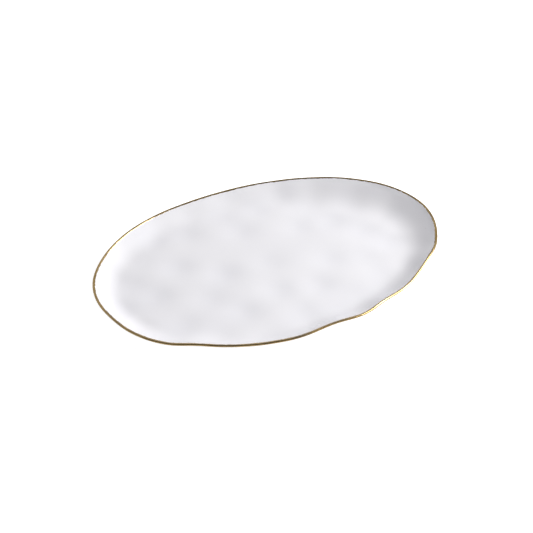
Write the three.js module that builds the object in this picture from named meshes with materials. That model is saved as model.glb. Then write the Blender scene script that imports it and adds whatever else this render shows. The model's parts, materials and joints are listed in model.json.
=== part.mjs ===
// A hand-formed oval serving platter in china: a porcelain body with a flared, wavy wall, an oval foot ring
// luted on underneath, and a band of gold fired round the lip. Millimetres, +Z up. The origin is on the table,
// under the middle of the outline. X runs along the platter and Y across it.
//
// Each piece is turned as a round profile first, and then pressed into the platter's wavy oval, as a plate is
// thrown round and then shaped by hand. Profiles are lists of (inset, z) points that run from the underside,
// outwards and round the lip, to the top. An inset is how far a point lies inside the edge, in plan.
import * as THREE from "three";
import { mergeVertices } from "three/addons/utils/BufferGeometryUtils.js";

// The plan of the lip: an ellipse, pushed out or pressed in by hand along its edge.
const HALF_LENGTH = 184;
const HALF_WIDTH = 123.5;

// The crests and hollows of the edge: [degrees round the ellipse from +X, how far the edge is pushed out].
const EDGE_WAVES = [
  [10, 2.8],
  [95, 0.5],
  [120, 3.2],
  [160, -1],
  [187, -2.3],
  [221.5, 2.8],
  [232, 0.2],
  [251.5, 2.1],
  [260.5, 2.3],
  [275, -2.6],
  [286, 0.1],
  [295.5, -2.6],
  [305.5, -1.4],
  [320.5, -3.9],
  [336.5, -0.7],
];
const LIFT_PER_PUSH = -0.25; // clay pushed out sinks a little, and clay pressed in rises
const WAVE_FADE = 1.5; // how fast the waves die away down the wall

// One end of the platter sweeps up higher than the rest of the edge.
const END_LIFT = 6.8;
const END_ANGLE = 26; // degrees round the ellipse
const END_SHARPNESS = 4;

// The section: a flat floor that bends up into a straight, flared wall. Where the edge is higher, the wall is
// larger in proportion, so it leans the same all round.
const FOOT_HEIGHT = 4.5;
const FLOOR_THICKNESS = 4.5;
const LIP_THICKNESS = 2.4;
const WALL_RISE = 9.5; // of the middle of the clay, from the floor to the lip, away from the raised end
const WALL_RUN = 30; // in plan, from the edge to where the floor is flat
const WALL_STRAIGHT = 6; // in plan, the straight part of the wall, next to the edge

// The foot ring's section, which narrows to a standing face with rounded corners.
const FOOT_INSET = 53; // of its outer side, where it meets the flat underside
const FOOT_TOP_WIDTH = 6.5;
const FOOT_BASE_WIDTH = 3.8;
const FOOT_CORNER = 0.7;

// The gold: how far it laps down each side of the lip, and how closely it fills its bed in the glaze.
const GOLD_LAP_INSIDE = 0.4;
const GOLD_LAP_OUTSIDE = 1.4;
const GOLD_THICKNESS = 0.4;
const BED_CLEARANCE = 0.05;

// How finely the surfaces are faceted.
const COLUMNS = 96;
const WALL_ROWS = 7;
const NOSE_STEPS = 4;

const FLOOR_MIDDLE_Z = FOOT_HEIGHT + FLOOR_THICKNESS / 2;
const FLOOR_Z = FOOT_HEIGHT + FLOOR_THICKNESS;
const WALL_SLOPE = WALL_RISE / (WALL_STRAIGHT + (WALL_RUN - WALL_STRAIGHT) / 2);
const BLANK_RADIUS = HALF_LENGTH; // of the round blank that the profiles are turned on

// ---- The outline ----

// How far the edge is pushed out at an angle: smooth from each crest or hollow to the next.
function edgePush(degrees) {
  const [firstAngle, firstPush] = EDGE_WAVES[0];
  const at = firstAngle + THREE.MathUtils.euclideanModulo(degrees - firstAngle, 360);
  const lap = [...EDGE_WAVES, [firstAngle + 360, firstPush]];
  const next = lap.findIndex(([angle]) => angle > at);
  const [fromAngle, fromPush] = lap[next - 1];
  const [toAngle, toPush] = lap[next];
  const along = (at - fromAngle) / (toAngle - fromAngle);
  return THREE.MathUtils.lerp(fromPush, toPush, (1 - Math.cos(Math.PI * along)) / 2);
}

// The edge at an angle: how far it is pushed out, and the wall's size there as a multiple of its plain size.
function edgeAt(degrees) {
  const push = edgePush(degrees);
  const nearness = (1 + Math.cos(THREE.MathUtils.degToRad(degrees - END_ANGLE))) / 2;
  const rise = WALL_RISE + END_LIFT * nearness ** END_SHARPNESS + LIFT_PER_PUSH * push;
  return { push, size: rise / WALL_RISE };
}

// Where a point at an inset and a height lands on the platter, at an angle round the ellipse.
function platterPoint(angle, edge, inset, z) {
  const plan = new THREE.Vector2(HALF_LENGTH * Math.cos(angle), HALF_WIDTH * Math.sin(angle));
  const outward = new THREE.Vector2(Math.cos(angle) / HALF_LENGTH, Math.sin(angle) / HALF_WIDTH).normalize();
  const waveShare = THREE.MathUtils.clamp(1 - inset / (WALL_RUN * edge.size), 0, 1) ** WAVE_FADE;
  const coreInset = FOOT_INSET + FOOT_TOP_WIDTH;
  plan.addScaledVector(outward, edge.push * waveShare - Math.min(inset, coreInset));
  // Inside the foot the floor shrinks evenly to the middle.
  plan.multiplyScalar(Math.min(1, (BLANK_RADIUS - inset) / (BLANK_RADIUS - coreInset)));
  return new THREE.Vector3(plan.x, plan.y, z);
}

// Turns a round blank with the profile of a plain edge, and shapes it column by column into the platter.
function formed(profileAt) {
  const blank = profileAt({ push: 0, size: 1 }).map((p) => new THREE.Vector2(BLANK_RADIUS - p.x, p.y));
  const geometry = new THREE.LatheGeometry(blank, COLUMNS);
  geometry.deleteAttribute("normal");
  geometry.deleteAttribute("uv");
  const position = geometry.getAttribute("position");
  for (let i = 0; i < position.count; i++) {
    const angle = Math.atan2(position.getX(i), position.getZ(i));
    const edge = edgeAt(THREE.MathUtils.radToDeg(angle));
    const place = profileAt(edge)[i % blank.length];
    const point = platterPoint(angle, edge, place.x, place.y);
    position.setXYZ(i, point.x, point.y, point.z);
  }
  return mergeVertices(geometry, 1e-3);
}

// ---- The section of the wall and lip ----

// The middle of the clay at an inset, and its slope. The slope dies away smoothly through the bend.
function wallMiddle(edge, inset) {
  const straightRun = WALL_STRAIGHT * edge.size;
  const bendRun = WALL_RUN * edge.size - straightRun;
  const along = THREE.MathUtils.clamp((inset - straightRun) / bendRun, 0, 1);
  const straightRise = Math.max(0, straightRun - inset);
  const bendRise = bendRun * (0.5 - along + along ** 3 - along ** 4 / 2);
  return {
    z: FLOOR_MIDDLE_Z + WALL_SLOPE * (straightRise + bendRise),
    slope: WALL_SLOPE * (1 - THREE.MathUtils.smoothstep(along, 0, 1)),
  };
}

// A point on the wall's face: side is 1 for the inside or -1 for the outside, and depth is how far under it.
function wallFace(edge, inset, side, depth = 0) {
  const { z, slope } = wallMiddle(edge, inset);
  const inwards = Math.min(1, inset / (WALL_RUN * edge.size));
  const thickness = THREE.MathUtils.lerp(LIP_THICKNESS, FLOOR_THICKNESS, inwards);
  const reach = (side * (thickness / 2 - depth)) / Math.hypot(1, slope);
  return new THREE.Vector2(inset + reach * slope, z + reach);
}

// The wall's face between a border near the lip and the floor, in the order from the floor up.
function wallRows(edge, side, border) {
  return Array.from({ length: WALL_ROWS }, (_, i) => {
    return wallFace(edge, THREE.MathUtils.lerp(WALL_RUN * edge.size, border, i / WALL_ROWS), side);
  });
}

// The lip at a depth under its surface, from a border on its outside, round its nose, to one on its inside.
function lipPath(edge, depth, outerBorder, innerBorder) {
  const { z, slope } = wallMiddle(edge, 0);
  const radius = LIP_THICKNESS / 2 - depth;
  const nose = Array.from({ length: NOSE_STEPS + 1 }, (_, i) => {
    const turn = Math.atan(slope) - Math.PI / 2 + (Math.PI * i) / NOSE_STEPS;
    return new THREE.Vector2(-radius * Math.cos(turn), z + radius * Math.sin(turn));
  });
  return [wallFace(edge, outerBorder, -1, depth), ...nose, wallFace(edge, innerBorder, 1, depth)];
}

// ---- The pieces ----

function porcelainBody() {
  const outerBorder = GOLD_LAP_OUTSIDE + BED_CLEARANCE;
  const innerBorder = GOLD_LAP_INSIDE + BED_CLEARANCE;
  return formed((edge) => [
    new THREE.Vector2(BLANK_RADIUS, FOOT_HEIGHT),
    ...wallRows(edge, -1, outerBorder),
    wallFace(edge, outerBorder, -1),
    ...lipPath(edge, GOLD_THICKNESS + BED_CLEARANCE, outerBorder, innerBorder),
    wallFace(edge, innerBorder, 1),
    ...wallRows(edge, 1, innerBorder).reverse(),
    new THREE.Vector2(BLANK_RADIUS, FLOOR_Z),
  ]);
}

function goldRim() {
  return formed((edge) => {
    const face = lipPath(edge, 0, GOLD_LAP_OUTSIDE, GOLD_LAP_INSIDE);
    const back = lipPath(edge, GOLD_THICKNESS, GOLD_LAP_OUTSIDE, GOLD_LAP_INSIDE);
    return [...face, ...back.reverse(), face[0].clone()];
  });
}

function footRing() {
  const taper = (FOOT_TOP_WIDTH - FOOT_BASE_WIDTH) / 2;
  const outer = FOOT_INSET + taper;
  const inner = outer + FOOT_BASE_WIDTH;
  return formed(() => [
    new THREE.Vector2(FOOT_INSET + FOOT_TOP_WIDTH, FOOT_HEIGHT),
    new THREE.Vector2(inner, FOOT_CORNER),
    new THREE.Vector2(inner - FOOT_CORNER, 0),
    new THREE.Vector2(outer + FOOT_CORNER, 0),
    new THREE.Vector2(outer, FOOT_CORNER),
    new THREE.Vector2(FOOT_INSET, FOOT_HEIGHT),
    new THREE.Vector2(FOOT_INSET + FOOT_TOP_WIDTH, FOOT_HEIGHT),
  ]);
}

// ---- The platter ----

const porcelain = new THREE.MeshStandardMaterial({ color: 0xf2f2f4, roughness: 0.15, metalness: 0 });
const bisque = new THREE.MeshStandardMaterial({ color: 0xe4dfd6, roughness: 0.75, metalness: 0 });
const gold = new THREE.MeshStandardMaterial({ color: 0xc79a4b, roughness: 0.25, metalness: 1 });

function piece(name, geometry, material) {
  const mesh = new THREE.Mesh(geometry, material);
  mesh.name = name;
  return mesh;
}

const platter = new THREE.Group();
platter.add(
  piece("porcelain_body", porcelainBody(), porcelain),
  piece("foot_ring", footRing(), bisque),
  piece("gold_rim", goldRim(), gold),
);

// The waves make the outline uneven, so its middle is found and put over the origin.
const middle = new THREE.Box3().setFromObject(platter).getCenter(new THREE.Vector3());
for (const { geometry } of platter.children) {
  geometry.translate(-middle.x, -middle.y, 0);
}

export default platter;
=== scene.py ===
"""A hand-formed oval serving platter in white porcelain, with a band of gold fired round its lip.

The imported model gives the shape. The lip's outline and height are read off its gold rim, free of facets, and
the foot and the well floor are where it has them. Here the clay gets its pressed dimples and the soft flutes
of its wall, the foot its rounded ring and bare standing face, and the gold its brushed, uneven edges. Metres.
"""

import json
import math

import bpy
import numpy as np
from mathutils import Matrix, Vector
from mathutils.bvhtree import BVHTree


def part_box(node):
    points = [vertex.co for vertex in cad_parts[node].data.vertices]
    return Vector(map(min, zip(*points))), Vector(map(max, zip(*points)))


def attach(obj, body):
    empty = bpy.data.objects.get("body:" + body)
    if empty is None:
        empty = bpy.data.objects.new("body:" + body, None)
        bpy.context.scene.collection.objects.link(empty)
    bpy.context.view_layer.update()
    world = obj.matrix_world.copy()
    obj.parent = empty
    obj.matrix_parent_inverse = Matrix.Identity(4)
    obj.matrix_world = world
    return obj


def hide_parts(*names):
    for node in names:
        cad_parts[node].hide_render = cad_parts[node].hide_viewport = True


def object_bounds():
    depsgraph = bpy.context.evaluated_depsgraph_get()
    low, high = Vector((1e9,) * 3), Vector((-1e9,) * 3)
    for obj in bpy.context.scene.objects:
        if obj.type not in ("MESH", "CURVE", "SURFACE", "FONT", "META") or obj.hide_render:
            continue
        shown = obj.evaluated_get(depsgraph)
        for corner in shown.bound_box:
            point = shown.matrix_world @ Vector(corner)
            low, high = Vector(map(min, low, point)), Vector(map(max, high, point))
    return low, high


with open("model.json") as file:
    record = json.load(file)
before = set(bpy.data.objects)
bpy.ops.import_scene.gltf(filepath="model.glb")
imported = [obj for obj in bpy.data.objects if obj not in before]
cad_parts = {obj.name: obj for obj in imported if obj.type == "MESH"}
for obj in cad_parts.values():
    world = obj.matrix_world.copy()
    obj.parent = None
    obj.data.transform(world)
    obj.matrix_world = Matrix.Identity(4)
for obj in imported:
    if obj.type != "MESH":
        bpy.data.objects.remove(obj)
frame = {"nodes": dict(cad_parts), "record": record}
cad_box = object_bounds()

MM = 0.001

# ---- Sizes from the frame ----

FOOT_LOW, FOOT_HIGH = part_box("foot_ring")
RIM_LOW, RIM_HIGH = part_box("gold_rim")
MOUNTS = {mount["name"]: mount for mount in frame["record"]["mounts"]}

FOOT_HEIGHT = FOOT_HIGH.z
FLOOR_TOP = MOUNTS["well_floor"]["pos_m"][2]
FLOOR_THICKNESS = FLOOR_TOP - FOOT_HEIGHT
FLOOR_MIDDLE = FOOT_HEIGHT + FLOOR_THICKNESS / 2

CENTRE = np.array([(FOOT_LOW.x + FOOT_HIGH.x) / 2, (FOOT_LOW.y + FOOT_HIGH.y) / 2])
FOOT_HALF = np.array([FOOT_HIGH.x - FOOT_LOW.x, FOOT_HIGH.y - FOOT_LOW.y]) / 2
RIM_HALF = np.array([RIM_HIGH.x - RIM_LOW.x, RIM_HIGH.y - RIM_LOW.y]) / 2

# ---- Sizes of the section ----

LIP_THICKNESS = 2.4 * MM
LIP_RADIUS = LIP_THICKNESS / 2
WALL_SLOPE = 0.528  # of the straight part of the wall, next to the lip
STRAIGHT_SHARE = 0.2  # of the wall's run in plan
THICKENING = 1.5  # how soon the wall thickens below the lip: 1 would be evenly, down to the floor
WAVE_FADE = 1.5  # how fast the lip's waves die away down the wall
FOOT_WIDTH = 6.5 * MM
FOOT_BASE_WIDTH = 3.8 * MM

COLUMNS = 720  # points round every lap

rng = np.random.default_rng(seed=11)

# ---- The outline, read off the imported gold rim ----

# The foot is parallel to a plain ellipse, and the lip waves about that ellipse.
FOOT_TO_LIP = float(np.mean(RIM_HALF - FOOT_HALF))
HALF = FOOT_HALF + FOOT_TO_LIP - LIP_RADIUS
TURN = np.linspace(0, 2 * math.pi, COLUMNS, endpoint=False)
ELLIPSE = CENTRE + np.column_stack([HALF[0] * np.cos(TURN), HALF[1] * np.sin(TURN)])
OUTWARD = np.column_stack([np.cos(TURN) / HALF[0], np.sin(TURN) / HALF[1]])
OUTWARD /= np.linalg.norm(OUTWARD, axis=1)[:, None]

FACET_WAVES = 40  # detail with this many waves round the lip, or more, is smoothed away
PROBE_HEIGHTS = 60
PROBE_STAND_OFF = 20 * MM


def without_facets(values):
    """Values read at every column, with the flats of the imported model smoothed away."""
    waves = np.fft.rfft(values)
    waves[FACET_WAVES:] = 0
    return np.fft.irfft(waves, len(values))


def read_lip():
    """How far the lip's middle is pushed out from the ellipse, and how high it is, at every column."""
    mesh = frame["nodes"]["gold_rim"].data
    vertices = [v.co[:] for v in mesh.vertices]
    tree = BVHTree.FromPolygons(vertices, [p.vertices[:] for p in mesh.polygons])
    heights = np.linspace(RIM_LOW.z, RIM_HIGH.z, PROBE_HEIGHTS)
    push = np.zeros(COLUMNS)
    height = np.zeros(COLUMNS)
    for i in range(COLUMNS):
        start = ELLIPSE[i] + OUTWARD[i] * PROBE_STAND_OFF
        inward = Vector((-OUTWARD[i][0], -OUTWARD[i][1], 0))
        # A ray cast gives the place, normal, face and distance of what it hits.
        distances = [tree.ray_cast(Vector((*start, z)), inward)[3] for z in heights]
        push[i] = PROBE_STAND_OFF - min(d for d in distances if d is not None) - LIP_RADIUS
        over = ELLIPSE[i] + OUTWARD[i] * push[i]
        top = tree.ray_cast(Vector((*over, 2 * RIM_HIGH.z)), Vector((0, 0, -1)))[0]
        height[i] = top.z - LIP_RADIUS
    return without_facets(push), without_facets(height)


PUSH, LIP_HEIGHT = read_lip()

# Where the lip is higher, the wall is larger in proportion. Its run is from the lip to where the floor is
# flat. The bend's slope dies away smoothly, so it rises half as much as a straight wall would.
WALL_RISE = LIP_HEIGHT - FLOOR_MIDDLE
WALL_RUN = WALL_RISE / (WALL_SLOPE * (1 + STRAIGHT_SHARE) / 2)
BEND_RUN = WALL_RUN * (1 - STRAIGHT_SHARE)

# ---- What hands leave in the clay ----

DIMPLE_SPACING = 45 * MM
DIMPLE_DEPTH = 1.15 * MM
DIMPLE_RANGE = (0.55, 1.3)  # from the shallowest to the deepest, as shares of the depth
DIMPLE_TRIES = 14
FLUTE_SPACING = 50 * MM
FLUTE_DEPTH = 1.05 * MM
FLUTE_RANGE = (0.6, 1.3)
FLUTE_WANDER = 0.2  # how far a flute strays from even spacing, as a share of the spacing
DENT_SPREAD = 0.28  # a dent's width, from its middle to its steepest slope, as a share of the spacing


def dents(away, spacing, depths):
    """The height of a surface pressed in round each of some middles, from the distances to them."""
    return -(depths[:, None] * np.exp(-0.5 * (away / (DENT_SPREAD * spacing)) ** 2)).sum(axis=0)


def dimple_middles():
    """Unevenly scattered fingertip marks: each lands as far from the rest as a few tries allow."""
    reach = RIM_HALF + DIMPLE_SPACING
    area_each = DIMPLE_SPACING ** 2 * math.sqrt(3) / 2  # as in a honeycomb
    count = round(4 * reach[0] * reach[1] / area_each)
    middles = [CENTRE]
    while len(middles) < count:
        tries = CENTRE + rng.uniform(-1, 1, (DIMPLE_TRIES, 2)) * reach
        gaps = np.linalg.norm(tries[:, None, :] - np.array(middles)[None, :, :], axis=2).min(axis=1)
        middles.append(tries[gaps.argmax()])
    return np.array(middles)


MIDDLES = dimple_middles()
DIMPLE_DEPTHS = rng.uniform(*DIMPLE_RANGE, len(MIDDLES)) * DIMPLE_DEPTH
DIMPLE_LEVEL = -DIMPLE_DEPTH * 2 * math.pi * DENT_SPREAD ** 2  # about the mean height of the dented floor


def dimples(plan):
    """The height of the dimpled floor at points in plan, about zero on average."""
    away = np.linalg.norm(plan[None, :, :] - MIDDLES[:, None, :], axis=2)
    return dents(away, DIMPLE_SPACING, DIMPLE_DEPTHS) - DIMPLE_LEVEL


def flute_heights():
    """The soft flutes round the wall, as a height at every column."""
    path = ELLIPSE + OUTWARD * PUSH[:, None]
    steps = np.linalg.norm(np.roll(path, -1, axis=0) - path, axis=1)
    along = np.concatenate([[0], np.cumsum(steps)[:-1]])
    total = steps.sum()
    count = round(total / FLUTE_SPACING)
    strays = rng.uniform(-FLUTE_WANDER, FLUTE_WANDER, count)
    middles = (np.arange(count) + strays) * total / count
    away = np.abs((along[None, :] - middles[:, None] + total / 2) % total - total / 2)
    heights = dents(away, FLUTE_SPACING, rng.uniform(*FLUTE_RANGE, count) * FLUTE_DEPTH)
    return heights - heights.mean()


FLUTES = flute_heights()

# ---- The surface ----

FLUTE_AT_LIP = 0.45  # how much of the flutes shows at the lip
FLUTE_FULL = 0.3  # how far down the wall's run they show in full
FLUTE_FADE = (0.5, 1.2)  # from where to where along the run they die away
DIMPLE_ON_WALL = 0.35  # how much of the dimples shows high on the wall
DIMPLE_GROWTH = (0.2, 1)  # from where to where along the run they grow to full depth
DIMPLE_MARGIN = 6 * MM  # next to the lip, where they fade out


def smooth(low, high, value):
    """0 below low, 1 above high, and an easy curve between."""
    share = np.clip((value - low) / (high - low), 0, 1)
    return share * share * (3 - 2 * share)


def lap(inset, height, reach=1.0):
    """One lap of points round the platter, at an inset from the lip's middle and a height. reach draws it in
    towards the middle of the floor."""
    waves = np.clip(1 - inset / WALL_RUN, 0, 1) ** WAVE_FADE
    plan = ELLIPSE + OUTWARD * (PUSH * waves - inset)[:, None]
    plan = CENTRE + (plan - CENTRE) * reach
    return np.column_stack([plan, height + np.zeros(COLUMNS)])


def flute_share(inset):
    """How much of the flutes shows at an inset: about half at the lip, all on the wall, none on the floor."""
    along = inset / WALL_RUN
    below_lip = FLUTE_AT_LIP + (1 - FLUTE_AT_LIP) * smooth(0, FLUTE_FULL, along)
    return below_lip * (1 - smooth(*FLUTE_FADE, along))


def dimple_share(inset):
    """How much of the dimples shows at an inset: none at the lip, some on the wall, all on the floor."""
    down_wall = DIMPLE_ON_WALL + (1 - DIMPLE_ON_WALL) * smooth(*DIMPLE_GROWTH, inset / WALL_RUN)
    return down_wall * smooth(0, DIMPLE_MARGIN, inset)


def wall_middle(inset):
    """The height and slope of the middle of the clay: straight by the lip, then bending into the floor."""
    straight_run = WALL_RUN - BEND_RUN
    along = np.clip((inset - straight_run) / BEND_RUN, 0, 1)
    straight_rise = np.maximum(0, straight_run - inset)
    bend_rise = BEND_RUN * (0.5 - along + along ** 3 - along ** 4 / 2)
    slope = WALL_SLOPE * (1 - smooth(0, 1, along))
    return FLOOR_MIDDLE + WALL_SLOPE * (straight_rise + bend_rise), slope


def wall_lap(inset, side, depth=0.0, reach=1.0):
    """A lap on the wall or floor. side is 1 for the top or -1 for the underside, and depth is how far under
    it the lap lies."""
    inset = inset + np.zeros(COLUMNS)
    share = np.clip(1 - inset / WALL_RUN, 0, 1)
    height, slope = wall_middle(inset)
    thickness = FLOOR_THICKNESS + (LIP_THICKNESS - FLOOR_THICKNESS) * share ** THICKENING
    offset = side * (thickness / 2 - depth) + FLUTES * flute_share(inset)
    if side > 0:
        plan = lap(inset, 0.0, reach)[:, :2]
        offset = offset + dimples(plan) * dimple_share(inset)
    length = np.hypot(1, slope)
    return lap(inset + offset * slope / length, height + offset / length, reach)


def nose_lap(turn, depth=0.0):
    """A lap on the rounded nose of the lip: turn goes from -90 degrees, outside, to 90 degrees, inside."""
    lean = math.atan(WALL_SLOPE)
    radius = LIP_RADIUS - depth
    shift = FLUTES * flute_share(0.0)
    across = -radius * np.cos(turn + lean) + shift * math.sin(lean)
    up = radius * np.sin(turn + lean) + shift * math.cos(lean)
    return lap(across, LIP_HEIGHT + up)


# ---- Mesh making ----


def lofted(name, laps, tips=None):
    """A mesh through laps that run from the underside, round the outside, to the top. It closes at two tip
    points, or else on itself."""
    points = np.vstack(laps)
    count = len(laps)
    rows = count - 1 if tips else count
    faces = []
    for row in range(rows):
        low = row * COLUMNS
        high = ((row + 1) % count) * COLUMNS
        for i in range(COLUMNS):
            j = (i + 1) % COLUMNS
            faces.append((low + i, low + j, high + j, high + i))
    if tips:
        bottom, top = len(points), len(points) + 1
        points = np.vstack([points, tips])
        last = (count - 1) * COLUMNS
        for i in range(COLUMNS):
            j = (i + 1) % COLUMNS
            faces.append((bottom, j, i))
            faces.append((top, last + i, last + j))
    mesh = bpy.data.meshes.new(name)
    mesh.from_pydata(points.tolist(), [], faces)
    mesh.polygons.foreach_set("use_smooth", np.ones(len(faces), bool))
    mesh.update()
    piece = bpy.data.objects.new(name, mesh)
    bpy.context.scene.collection.objects.link(piece)
    return piece


def mark(piece, name, values):
    """Stores a number at each point of a piece for its material to read."""
    attribute = piece.data.attributes.new(name, "FLOAT", "POINT")
    attribute.data.foreach_set("value", np.asarray(values, np.float32))


# ---- The porcelain body ----

CORE_INSET = float(WALL_RUN.max()) + 7 * MM  # of the last lap before the floor shrinks evenly to its middle
WALL_LAPS = 22
NOSE_LAPS = 10
FLOOR_LAPS = 40
LIP_CROWDING = 1.25  # how much closer together the laps are near the lip: 1 would be evenly
GLAZE_POOL = -0.6 * DIMPLE_DEPTH  # the height at and below which the glaze lies thickest
GLAZE_CREST = 0.5 * DIMPLE_DEPTH  # the height at and above which it lies thinnest


def wall_insets():
    """Insets down the wall, closest together near the lip."""
    return CORE_INSET * np.linspace(0, 1, WALL_LAPS + 1)[1:] ** LIP_CROWDING


def pooled_glaze(plan):
    """How thickly the glaze lies: it runs off the crests and gathers in the dimples, 0 to 1."""
    return 1 - smooth(GLAZE_POOL, GLAZE_CREST, dimples(plan))


def make_body():
    """The body in one skin: out along the underside, up the wall, round the lip and back in over the floor.
    The underside is plain, so it has a third as many laps as the floor."""
    floor_reaches = np.linspace(0, 1, FLOOR_LAPS, endpoint=False)[1:]
    under_reaches = floor_reaches[2::3]
    laps = [wall_lap(CORE_INSET, -1, reach=r) for r in under_reaches]
    laps += [wall_lap(inset, -1) for inset in wall_insets()[::-1]]
    laps += [nose_lap(turn) for turn in np.linspace(-math.pi / 2, math.pi / 2, NOSE_LAPS + 1)]
    laps += [wall_lap(inset, 1) for inset in wall_insets()]
    laps += [wall_lap(CORE_INSET, 1, reach=r) for r in floor_reaches[::-1]]
    middle_height = FLOOR_TOP + dimples(CENTRE[None, :])[0]
    tips = [(*CENTRE, FOOT_HEIGHT), (*CENTRE, middle_height)]
    body = lofted("porcelain_body_fine", laps, tips)
    plan = np.vstack(laps + [tips])[:, :2]
    mark(body, "pooled", pooled_glaze(plan))
    return body


# ---- The foot ring ----

FOOT_FILLET = 1.8 * MM
FOOT_CORNER = 0.9 * MM
FOOT_BURIED = 0.6 * MM  # how far the ring runs up into the body
FOOT_LAPS = 17  # up each side


def foot_half_width(height):
    """Half the ring's width at a height: it flares into the body at the top and rounds off at the bottom."""
    half = (FOOT_BASE_WIDTH + (FOOT_WIDTH - FOOT_BASE_WIDTH) * height / FOOT_HEIGHT) / 2
    above = max(0.0, height - (FOOT_HEIGHT - FOOT_FILLET))
    below = max(0.0, FOOT_CORNER - height)
    flare = FOOT_FILLET - math.sqrt(max(0.0, FOOT_FILLET ** 2 - above ** 2))
    rounding = FOOT_CORNER - math.sqrt(max(0.0, FOOT_CORNER ** 2 - below ** 2))
    return half + flare - rounding


def make_foot():
    """The ring's skin: down its inner side, up its outer side, and closed inside the body."""
    middle = FOOT_TO_LIP - LIP_RADIUS + FOOT_WIDTH / 2
    rise = FOOT_HEIGHT * (1 - np.cos(np.linspace(0, math.pi, FOOT_LAPS))) / 2
    inner = [lap(middle + foot_half_width(z), z) for z in rise[::-1]]
    outer = [lap(middle - foot_half_width(z), z) for z in rise]
    seat = FOOT_HEIGHT + FOOT_BURIED
    half = foot_half_width(FOOT_HEIGHT)
    buried = [lap(middle - half, seat), lap(middle + half, seat)]
    return lofted("foot_ring_fine", inner + outer + buried)


# ---- The gold ----

GOLD_FILM = 0.05 * MM  # how far it stands out of the glaze
GOLD_ROOT = 0.3 * MM  # how deep its back lies
GOLD_EDGE = 0.03 * MM  # how deep its edges dip under the glaze
GOLD_TURNS = 13  # laps round the nose of the lip

# How far it laps down each side, how unsteadily, and over what distance it thins out to its edge.
INSIDE_LAP = 1.1 * MM
INSIDE_WAVER = 0.55 * MM
INSIDE_TAPER = 0.12 * MM
OUTSIDE_LAP = 1.7 * MM
OUTSIDE_WAVER = 0.8 * MM
OUTSIDE_TAPER = 0.15 * MM

BRUSH_FULLEST = math.radians(272)  # where the brush lays the widest gold
BRUSH_LOAD = 0.5 * MM  # how much wider than usual the outside is there, and how much narrower opposite
WAVER_ORDERS = 170  # the waver has every number of waves round the lip below this
WAVER_CALM = 6  # holds back the longest waves, which would otherwise outweigh the rest


def brush_waver(size):
    """The unsteady edge of a brush stroke round the lip: uneven at every length down to a few millimetres."""
    orders = np.arange(1, WAVER_ORDERS)
    phases = rng.uniform(0, 2 * math.pi, len(orders))
    sizes = rng.normal(0, 1, len(orders)) / np.sqrt(orders + WAVER_CALM)
    line = (sizes[:, None] * np.cos(orders[:, None] * TURN + phases[:, None])).sum(axis=0)
    return line * size / np.abs(line).max()


def make_gold():
    """The band's skin: over the lip from its outside edge to its inside edge, and back through the clay."""
    inside = INSIDE_LAP + brush_waver(INSIDE_WAVER)
    outside = OUTSIDE_LAP + BRUSH_LOAD * np.cos(TURN - BRUSH_FULLEST) + brush_waver(OUTSIDE_WAVER)
    turns = np.linspace(-math.pi / 2, math.pi / 2, GOLD_TURNS)
    face = [wall_lap(outside, -1, GOLD_EDGE), wall_lap(outside - OUTSIDE_TAPER, -1, -GOLD_FILM)]
    face += [nose_lap(turn, -GOLD_FILM) for turn in turns]
    face += [wall_lap(inside - INSIDE_TAPER, 1, -GOLD_FILM), wall_lap(inside, 1, GOLD_EDGE)]
    back = [wall_lap(inside, 1, GOLD_ROOT)]
    back += [nose_lap(turn, GOLD_ROOT) for turn in turns[::-2]]
    back += [wall_lap(outside, -1, GOLD_ROOT)]
    rim = lofted("gold_rim_fine", face + back)
    across = np.concatenate([np.linspace(0, 1, len(face)), np.linspace(1, 0, len(back))])
    mark(rim, "across", np.repeat(across, COLUMNS))
    return rim


# ---- Material making ----

NOISE_LOW, NOISE_HIGH = 0.3, 0.7  # where nearly all of a noise's values lie


def new_material(name):
    """A material with one Principled shader. Gives the material, its nodes, its links and the shader."""
    material = bpy.data.materials.new(name)
    material.use_nodes = True
    nodes, links = material.node_tree.nodes, material.node_tree.links
    return material, nodes, links, nodes["Principled BSDF"]


def connect(links, value, socket):
    """Feeds a socket from another one, or sets it to a plain value."""
    if isinstance(value, bpy.types.NodeSocket):
        links.new(value, socket)
    else:
        socket.default_value = value


def attribute(nodes, name):
    """A number stored at each point of the piece."""
    node = nodes.new("ShaderNodeAttribute")
    node.attribute_name = name
    return node.outputs["Fac"]


def arithmetic(nodes, links, operation, first, second):
    """One sum on two numbers, each a socket or a plain value."""
    node = nodes.new("ShaderNodeMath")
    node.operation = operation
    for socket, value in zip(node.inputs, (first, second)):
        connect(links, value, socket)
    return node.outputs["Value"]


def noise(nodes, links, vector, scale, detail=3.0):
    """Soft noise, with about this many lumps to a metre."""
    node = nodes.new("ShaderNodeTexNoise")
    node.inputs["Scale"].default_value = scale
    node.inputs["Detail"].default_value = detail
    links.new(vector, node.inputs["Vector"])
    return node.outputs["Fac"]


def specks(nodes, links, vector, scale, chance):
    """Round specks: the distance from the middle of each, in the few cells of a pattern that have one."""
    cells = nodes.new("ShaderNodeTexVoronoi")
    cells.inputs["Scale"].default_value = scale
    links.new(vector, cells.inputs["Vector"])
    pick = nodes.new("ShaderNodeSeparateColor")
    links.new(cells.outputs["Color"], pick.inputs["Color"])
    skipped = arithmetic(nodes, links, "GREATER_THAN", pick.outputs["Red"], chance)
    return arithmetic(nodes, links, "ADD", cells.outputs["Distance"], skipped)


def ramp(nodes, links, value, stops):
    """A colour ramp through (place, colour) stops."""
    node = nodes.new("ShaderNodeValToRGB")
    elements = node.color_ramp.elements
    while len(elements) < len(stops):
        elements.new(0.5)
    for element, (place, colour) in zip(elements, stops):
        element.position = place
        element.color = (*colour, 1)
    links.new(value, node.inputs["Fac"])
    return node.outputs["Color"]


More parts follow.
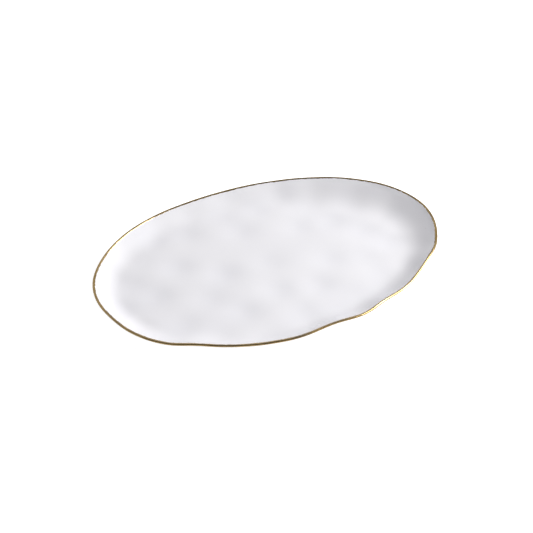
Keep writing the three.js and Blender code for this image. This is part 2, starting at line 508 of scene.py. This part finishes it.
def ranged(nodes, links, value, low, high, new_low, new_high):
    """A number moved from one range to another, and kept inside it."""
    node = nodes.new("ShaderNodeMapRange")
    for name, number in (("From Min", low), ("From Max", high), ("To Min", new_low), ("To Max", new_high)):
        node.inputs[name].default_value = number
    links.new(value, node.inputs["Value"])
    return node.outputs["Result"]


def mixed(nodes, links, share, first, second, blend="MIX"):
    """Two colours mixed by a share, each a socket or a plain value."""
    node = nodes.new("ShaderNodeMix")
    node.data_type = "RGBA"
    node.blend_type = blend
    connect(links, share, node.inputs["Factor"])
    connect(links, first, node.inputs["A"])
    connect(links, second, node.inputs["B"])
    return node.outputs["Result"]


def bumped(nodes, links, shader, height, distance, strength):
    """Gives a shader's surface the grain of a height pattern."""
    node = nodes.new("ShaderNodeBump")
    node.inputs["Distance"].default_value = distance
    node.inputs["Strength"].default_value = strength
    links.new(height, node.inputs["Height"])
    links.new(node.outputs["Normal"], shader.inputs["Normal"])


# ---- Materials ----

# Every scale here is a number of features to a metre.

CREST_COLOUR = (0.897, 0.887, 0.91, 1)
POOL_COLOUR = (0.876, 0.868, 0.897, 1)
CLOUD_SCALE = 12
CLOUD_STOPS = [(0.2, (0.97, 0.97, 0.975)), (0.8, (1, 1, 1))]
IRON_COLOUR = (0.42, 0.36, 0.31, 1)
IRON_SCALE = 160
IRON_CHANCE = 0.02
IRON_STRENGTH = 0.55
IRON_CORE, IRON_EDGE = 0.03, 0.09  # the radii between which a speck fades, as shares of a cell
SHEEN_SCALE = 45
GLAZE_ROUGHNESS = (0.28, 0.35)
PEEL_SCALE = 420
PEEL_DEPTH = 0.04 * MM
PEEL_STRENGTH = 0.35


def glaze_material():
    """A clear glaze over white clay, cooler where it pools, with a few iron specks and faint orange peel."""
    material, nodes, links, shader = new_material("porcelain_glaze")
    place = nodes.new("ShaderNodeTexCoord").outputs["Object"]
    depth = mixed(nodes, links, attribute(nodes, "pooled"), CREST_COLOUR, POOL_COLOUR)
    cloud = ramp(nodes, links, noise(nodes, links, place, CLOUD_SCALE, 1.0), CLOUD_STOPS)
    clouded = mixed(nodes, links, 1.0, depth, cloud, "MULTIPLY")
    speck = specks(nodes, links, place, IRON_SCALE, IRON_CHANCE)
    speck_share = ranged(nodes, links, speck, IRON_CORE, IRON_EDGE, IRON_STRENGTH, 0.0)
    links.new(mixed(nodes, links, speck_share, clouded, IRON_COLOUR), shader.inputs["Base Color"])
    sheen = noise(nodes, links, place, SHEEN_SCALE, 1.0)
    roughness = ranged(nodes, links, sheen, NOISE_LOW, NOISE_HIGH, *GLAZE_ROUGHNESS)
    links.new(roughness, shader.inputs["Roughness"])
    shader.inputs["IOR"].default_value = 1.5
    peel = noise(nodes, links, place, PEEL_SCALE, 1.0)
    bumped(nodes, links, shader, peel, PEEL_DEPTH, PEEL_STRENGTH)
    return material


STREAK_SCALE = 60
STREAK_SPREAD = 0.16  # how far the pattern moves on from one edge of the band to the other, in metres
STREAK_STOPS = [
    (NOISE_LOW, (0.36, 0.24, 0.10)),
    (0.5, (0.58, 0.41, 0.18)),
    (NOISE_HIGH, (0.74, 0.56, 0.30)),
]
WEAR_COLOUR = (0.33, 0.27, 0.19, 1)
WEAR_SCALE = 34
WEAR_FROM, WEAR_TO = 0.5, 0.68  # the noise's values between which the wear comes in
WEAR_STRENGTH = 0.7
GOLD_ROUGHNESS = (0.26, 0.16)
BRUSH_MARK_DEPTH = 0.05 * MM
BRUSH_MARK_STRENGTH = 0.4


def gold_material():
    """Fired gold with brush streaks along the rim, worn duller and browner in places."""
    material, nodes, links, shader = new_material("gold_lustre")
    place = nodes.new("ShaderNodeTexCoord").outputs["Object"]
    spread = nodes.new("ShaderNodeCombineXYZ")
    across = arithmetic(nodes, links, "MULTIPLY", attribute(nodes, "across"), STREAK_SPREAD)
    links.new(across, spread.inputs["Z"])
    streaked = nodes.new("ShaderNodeVectorMath")
    streaked.operation = "ADD"
    links.new(place, streaked.inputs[0])
    links.new(spread.outputs["Vector"], streaked.inputs[1])
    streak = noise(nodes, links, streaked.outputs["Vector"], STREAK_SCALE, 3.0)
    colour = ramp(nodes, links, streak, STREAK_STOPS)
    patches = noise(nodes, links, place, WEAR_SCALE)
    wear = ranged(nodes, links, patches, WEAR_FROM, WEAR_TO, 0.0, WEAR_STRENGTH)
    links.new(mixed(nodes, links, wear, colour, WEAR_COLOUR), shader.inputs["Base Color"])
    roughness = ranged(nodes, links, streak, NOISE_LOW, NOISE_HIGH, *GOLD_ROUGHNESS)
    links.new(roughness, shader.inputs["Roughness"])
    shader.inputs["Metallic"].default_value = 1.0
    bumped(nodes, links, shader, streak, BRUSH_MARK_DEPTH, BRUSH_MARK_STRENGTH)
    return material


GLAZE_LINE = (0.9 * MM, 1.15 * MM)  # from bare clay to full glaze, above the standing face
GLAZE_LINE_WAVER = 0.35 * MM
GLAZE_LINE_SCALE = 90
SAND_SCALE = 1400
SAND_STOPS = [(NOISE_LOW, (0.70, 0.66, 0.59)), (NOISE_HIGH, (0.83, 0.80, 0.74))]
SAND_DEPTH = 0.12 * MM
SAND_STRENGTH = 0.6
FOOT_GLAZE_SCALE = 22
FOOT_GLAZE_STOPS = [(NOISE_LOW, (0.86, 0.853, 0.885)), (NOISE_HIGH, (0.89, 0.88, 0.91))]
FOOT_ROUGHNESS = (0.3, 0.85)  # glazed, and bare


def foot_material():
    """The glaze runs down the sides of the foot to an uneven line, below which the clay is bare and sandy."""
    material, nodes, links, shader = new_material("foot_bisque")
    place = nodes.new("ShaderNodeTexCoord").outputs["Object"]
    height = nodes.new("ShaderNodeSeparateXYZ")
    links.new(place, height.inputs["Vector"])
    drips = noise(nodes, links, place, GLAZE_LINE_SCALE, 2.0)
    waver = ranged(nodes, links, drips, NOISE_LOW, NOISE_HIGH, -GLAZE_LINE_WAVER, GLAZE_LINE_WAVER)
    level = arithmetic(nodes, links, "ADD", height.outputs["Z"], waver)
    bare = ranged(nodes, links, level, *GLAZE_LINE, 1.0, 0.0)
    grain = noise(nodes, links, place, SAND_SCALE, 3.0)
    clay = ramp(nodes, links, grain, SAND_STOPS)
    glaze = ramp(nodes, links, noise(nodes, links, place, FOOT_GLAZE_SCALE), FOOT_GLAZE_STOPS)
    links.new(mixed(nodes, links, bare, glaze, clay), shader.inputs["Base Color"])
    links.new(ranged(nodes, links, bare, 0.0, 1.0, *FOOT_ROUGHNESS), shader.inputs["Roughness"])
    sand = arithmetic(nodes, links, "MULTIPLY", grain, bare)
    bumped(nodes, links, shader, sand, SAND_DEPTH, SAND_STRENGTH)
    return material


# ---- The pieces ----


def place_piece(piece, node, material):
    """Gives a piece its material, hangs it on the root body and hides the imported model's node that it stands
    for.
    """
    piece.data.materials.append(material)
    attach(piece, "root")
    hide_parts(node)


place_piece(make_body(), "porcelain_body", glaze_material())
place_piece(make_foot(), "foot_ring", foot_material())
place_piece(make_gold(), "gold_rim", gold_material())

# ---- The stage ----


def direction(turn, rise):
    """A direction, given as degrees round from +X towards +Y and degrees up."""
    turn, rise = math.radians(turn), math.radians(rise)
    return Vector((math.cos(turn) * math.cos(rise), math.sin(turn) * math.cos(rise), math.sin(rise)))


TO_CAMERA = direction(-113.2, 38)
CAMERA_DISTANCE = 1.2893
CAMERA_LENS = 85  # millimetres, and so is the film's width
CAMERA_FILM = 36
CAMERA_SHIFT_X = -0.0039
CAMERA_SHIFT_Y = -0.0186

TO_KEY = direction(-14, 36)
KEY_DISTANCE = 2.6
KEY_WIDTH = 1.85
KEY_WATTS = 89

FLOOR_REACH = 30.0
FLOOR_GAP = 0.1 * MM  # below the platter's foot
FLOOR_COLOUR = (0.82, 0.82, 0.82, 1)
FLOOR_GLOW = (0.18, 0.8)  # for light that falls on other things, and for the camera

ROOM_BEHIND = (0.495, 0.495, 0.51)  # beside and beyond the platter
ROOM_FRONT = (0.1, 0.1, 0.103)  # where the photographer stands
ROOM_STOPS = [(0.0, ROOM_BEHIND), (0.8, ROOM_FRONT)]
BACKDROP = (0.95, 0.95, 0.955, 1)


def make_floor():
    """Paper that the camera sees as pure white, and that throws a softer light up under the platter."""
    mesh = bpy.data.meshes.new("floor")
    signs = [(-1, -1), (1, -1), (1, 1), (-1, 1)]
    mesh.from_pydata([(x * FLOOR_REACH, y * FLOOR_REACH, 0) for x, y in signs], [], [(0, 1, 2, 3)])
    floor = bpy.data.objects.new("floor", mesh)
    floor.location.z = cad_box[0].z - FLOOR_GAP
    bpy.context.scene.collection.objects.link(floor)
    material, nodes, links, shader = new_material("floor_paper")
    shader.inputs["Base Color"].default_value = FLOOR_COLOUR
    shader.inputs["Roughness"].default_value = 0.9
    shader.inputs["Emission Color"].default_value = (1, 1, 1, 1)
    seen = nodes.new("ShaderNodeLightPath").outputs["Is Camera Ray"]
    links.new(ranged(nodes, links, seen, 0, 1, *FLOOR_GLOW), shader.inputs["Emission Strength"])
    floor.data.materials.append(material)


def make_key_light():
    """One large round lamp past the right-hand end of the platter."""
    lamp = bpy.data.lights.new("key", "AREA")
    lamp.shape = "DISK"
    lamp.size = KEY_WIDTH
    lamp.energy = KEY_WATTS
    light = bpy.data.objects.new("key", lamp)
    light.location = TO_KEY * KEY_DISTANCE
    light.rotation_mode = "QUATERNION"
    light.rotation_quaternion = TO_KEY.to_track_quat("Z", "Y")
    bpy.context.scene.collection.objects.link(light)


def make_world():
    """An even grey room that darkens towards where the photographer stands, with a pale backdrop."""
    world = bpy.data.worlds.new("studio")
    bpy.context.scene.world = world
    world.use_nodes = True
    nodes, links = world.node_tree.nodes, world.node_tree.links
    way = nodes.new("ShaderNodeTexCoord").outputs["Generated"]
    facing = nodes.new("ShaderNodeVectorMath")
    facing.operation = "DOT_PRODUCT"
    facing.inputs[1].default_value = TO_CAMERA
    links.new(way, facing.inputs[0])
    room = ramp(nodes, links, facing.outputs["Value"], ROOM_STOPS)
    seen = nodes.new("ShaderNodeLightPath").outputs["Is Camera Ray"]
    links.new(mixed(nodes, links, seen, room, BACKDROP), nodes["Background"].inputs["Color"])


def make_camera():
    """The photographer's camera, aimed at the middle of the lip and shifted to frame it."""
    data = bpy.data.cameras.new("camera")
    data.lens = CAMERA_LENS
    data.sensor_width = CAMERA_FILM
    data.shift_x = CAMERA_SHIFT_X
    data.shift_y = CAMERA_SHIFT_Y
    camera = bpy.data.objects.new("camera", data)
    aim = Vector((*CENTRE, float(np.median(LIP_HEIGHT))))
    camera.location = aim + TO_CAMERA * CAMERA_DISTANCE
    camera.rotation_mode = "QUATERNION"
    camera.rotation_quaternion = (-TO_CAMERA).to_track_quat("-Z", "Y")
    bpy.context.scene.collection.objects.link(camera)
    bpy.context.scene.camera = camera


make_floor()
make_key_light()
make_world()
make_camera()
bpy.context.scene.view_settings.view_transform = "Standard"
